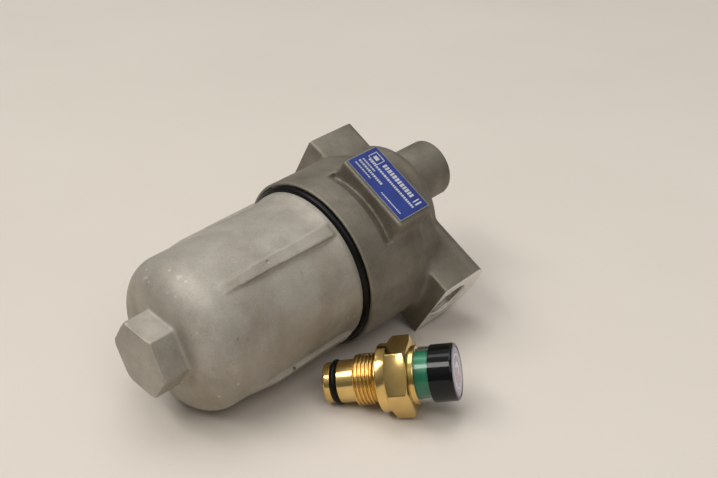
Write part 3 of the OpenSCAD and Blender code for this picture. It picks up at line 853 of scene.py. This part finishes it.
def dress_all():
    table = {
        "nameplate": PLATE, "spigot": STEEL, "bypass_seat": BRASS, "bypass_poppet": STEEL,
        "bypass_spring": STEEL, "bowl_o_ring": RUBBER, "backup_ring": BACKUP, "element_top_cap": STEEL,
        "element_bottom_cap": STEEL, "element_media": PAPER, "element_core": STEEL,
        "element_o_ring": RUBBER, "element_spring": STEEL, "indicator_o_ring": RUBBER,
        "indicator_window": CLEAR, "indicator_cap": BLACK, "indicator_disc": DISC,
        "indicator_red_post": RED, "indicator_sleeve": GREEN, "indicator_upper_magnet": MAGNET,
        "indicator_sleeve_spring": IND_STEEL, "indicator_piston": IND_STEEL,
        "indicator_lower_magnet": MAGNET, "indicator_piston_spring": IND_STEEL,
        "indicator_retainer": BRASS,
    }
    for node, material in table.items():
        dress(node, material)


def spring(node, body, material):
    """Stands for a CAD spring: a copy of its mesh with its own material, fixed to one body."""
    obj = NODES[node].copy()
    obj.data = obj.data.copy()
    bpy.context.scene.collection.objects.link(obj)
    obj.name = node + "_coil"
    obj.parent = None
    obj.matrix_world = NODES[node].matrix_world
    obj.data.materials.clear()
    obj.data.materials.append(material)
    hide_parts(node)
    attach(obj, body)
    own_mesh(obj)


def springs():
    spring("bypass_spring", "head", STEEL)
    spring("element_spring", "head", STEEL)
    spring("indicator_piston_spring", "indicator", IND_STEEL)


# ---- Floor, light and camera ----

def floor():
    half = 6.0
    corners = [(-half, -half, 0), (half, -half, 0), (half, half, 0), (-half, half, 0)]
    obj = new_object("floor", corners, [[0, 1, 2, 3]])
    obj.data.materials.append(floor_paper("floor_paper"))


def area_light(name, towards, azimuth, elevation, distance, size, power, colour):
    data = bpy.data.lights.new(name, "AREA")
    data.shape = "RECTANGLE"
    data.size, data.size_y = size
    data.energy = power
    data.color = colour
    obj = bpy.data.objects.new(name, data)
    bpy.context.scene.collection.objects.link(obj)
    a, e = math.radians(azimuth), math.radians(elevation)
    back = Vector((math.sin(a) * math.cos(e), -math.cos(a) * math.cos(e), math.sin(e)))
    obj.location = towards + back * distance
    obj.rotation_mode = "QUATERNION"
    obj.rotation_quaternion = (-back).to_track_quat("-Z", "Y")


def studio_world():
    """Plain surround that is dim near the horizon and brighter overhead."""
    world = bpy.data.worlds.new("studio")
    world.use_nodes = True
    tree = world.node_tree
    background = tree.nodes["Background"]
    background.inputs["Strength"].default_value = 1.0
    height = tree.nodes.new("ShaderNodeSeparateXYZ")
    tree.links.new(tree.nodes.new("ShaderNodeTexCoord").outputs["Generated"], height.inputs[0])
    shade = tree.nodes.new("ShaderNodeValToRGB")
    stops = shade.color_ramp.elements
    stops[0].position, stops[0].color = 0.3, (0.16, 0.155, 0.15, 1)
    stops[1].position, stops[1].color = 0.85, (0.52, 0.51, 0.5, 1)
    tree.links.new(height.outputs["Z"], shade.inputs["Fac"])
    tree.links.new(shade.outputs["Color"], background.inputs["Color"])
    bpy.context.scene.world = world


def lights():
    studio_world()
    middle = Vector((0, 0, 0.03))
    area_light("ceiling", middle, 150, 78, 3.0, (2.0, 2.0), 27, (1.0, 0.98, 0.96))
    area_light("strip", middle, -109, 55, 2.5, (2.2, 0.5), 28, (1.0, 0.98, 0.95))
    area_light("front", middle, -20, 48, 3.0, (1.6, 1.4), 15, (1.0, 0.98, 0.96))


CAM_AZIMUTH, CAM_ELEVATION = math.radians(45.60), math.radians(27.2)
CAM_LENS = 50.14
CAM_OFFSET = Vector((22.21, 11.60, -409.0)) * MM


def camera():
    """Looks at the filter from its bowl's end; the offset is along right, up and forward."""
    sa, ca = math.sin(CAM_AZIMUTH), math.cos(CAM_AZIMUTH)
    se, ce = math.sin(CAM_ELEVATION), math.cos(CAM_ELEVATION)
    right = Vector((ca, -sa, 0))
    forward = Vector((sa * ce, ca * ce, -se))
    up = Vector((sa * se, ca * se, ce))
    data = bpy.data.cameras.new("camera")
    data.lens = CAM_LENS
    data.sensor_width = 36
    data.clip_start, data.clip_end = 0.01, 20
    obj = bpy.data.objects.new("camera", data)
    bpy.context.scene.collection.objects.link(obj)
    obj.location = RIM + right * CAM_OFFSET.x + up * CAM_OFFSET.y + forward * CAM_OFFSET.z
    obj.rotation_mode = "QUATERNION"
    obj.rotation_quaternion = Matrix((right, up, -forward)).transposed().to_quaternion()
    bpy.context.scene.camera = obj


camera()
lights()
floor()
dress_all()
head()
bowl()
indicator()
plate_marks()
springs()
bpy.context.scene.view_settings.view_transform = "Standard"
